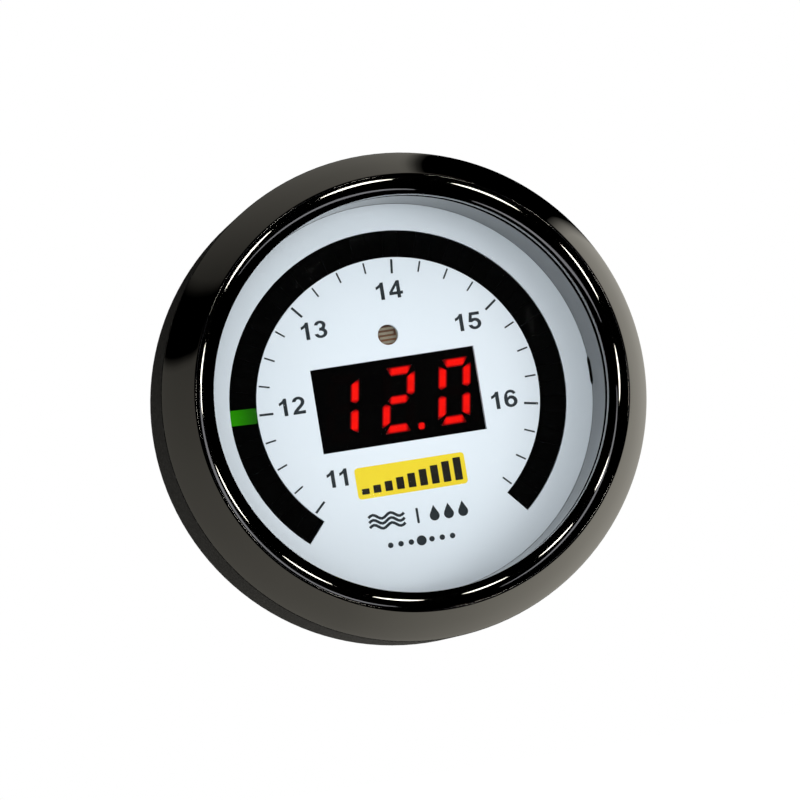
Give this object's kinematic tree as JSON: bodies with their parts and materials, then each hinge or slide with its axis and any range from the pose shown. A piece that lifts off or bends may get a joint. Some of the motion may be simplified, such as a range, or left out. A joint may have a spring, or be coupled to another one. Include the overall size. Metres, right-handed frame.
{
  "type": "air fuel ratio gauge",
  "caption": "Round panel gauge for air fuel ratio: digital readout inside a ring of light bars, white dial, black chrome bezel that unscrews, shallow cup with sockets and studs.",
  "frame": {"origin": "centre of the flange's rear face, where the gauge's axis meets the face of the panel", "axes": "-Y is the dial's outward normal, towards the driver; +Y goes into the panel along the cup; +Z is twelve o'clock; +X is to the right seen from the front"},
  "size_m": [0.06, 0.0389, 0.06],
  "materials": {
    "case_black": "spark textured",
    "bezel_black_chrome": "bright black chrome",
    "lens_clear": "clear, polished",
    "seal_rubber": "matt",
    "dial_white": "satin white with printed scale",
    "mask_black": "matt",
    "bar_smoked": "smoked, flush",
    "bar_green": "lit green",
    "display_black": "smooth",
    "segment_red": "lit red",
    "segment_dark": "unlit",
    "tinned_lead": "tinned",
    "sensor_ceramic": "glazed ceramic",
    "sensor_track": "deposited track",
    "board_green": "solder mask",
    "led_clear": "clear epoxy",
    "chip_black": "moulded",
    "can_aluminium": "bright can",
    "ferrite_grey": "ferrite",
    "screw_steel": "zinc plated",
    "socket_black": "satin moulded",
    "terminal_brass": "plated",
    "selector_blue": "moulded",
    "rotor_ivory": "moulded"
  },
  "bodies": {
    "root": {"housing": "case_black", "lens_seal": "seal_rubber", "faceplate": "dial_white", "light_mask": "mask_black", "bar_diffusers": "bar_smoked", "bar_diffuser_lit": "bar_green", "display_body": "display_black", "display_segments_lit": "segment_red", "display_segments_dark": "segment_dark", "display_pins": "tinned_lead", "light_sensor": "sensor_ceramic", "light_sensor_track": "sensor_track", "light_sensor_leads": "tinned_lead", "main_board": "board_green", "bar_leds": "led_clear", "bar_resistors": "chip_black", "microcontroller": "chip_black", "driver_chips": "chip_black", "chip_leads": "tinned_lead", "regulator": "chip_black", "transistors": "chip_black", "capacitors": "can_aluminium", "inductor": "ferrite_grey", "crystal": "can_aluminium", "board_screws": "screw_steel", "power_socket": "socket_black", "power_pins": "terminal_brass", "sensor_socket": "socket_black", "sensor_pins": "terminal_brass", "selector_body": "selector_blue", "rear_studs": "screw_steel"},
    "lens_pack": {"lens": "lens_clear"},
    "bezel": {"bezel": "bezel_black_chrome"},
    "selector": {"selector_rotor": "rotor_ivory"}
  },
  "joints": [
    {"name": "lens_lift", "type": "slide", "parent": "root", "child": "lens_pack", "axis": [0, -1, 0], "range_m": [0, 0.00451]},
    {"name": "bezel_turn", "type": "hinge", "parent": "lens_pack", "child": "bezel", "pos_m": [0, -0.0155, 0], "axis": [0, -1, 0], "range_deg": [0, 1080]},
    {"name": "selector_turn", "type": "hinge", "parent": "root", "child": "selector", "pos_m": [0, 0.0049, 0.0126], "axis": [0, 1, 0], "range_deg": [-72, 72]}
  ],
  "couplings": [
    {"joint": "lens_lift", "follows": "bezel_turn", "m_per_rad": 0.00023873}
  ]
}
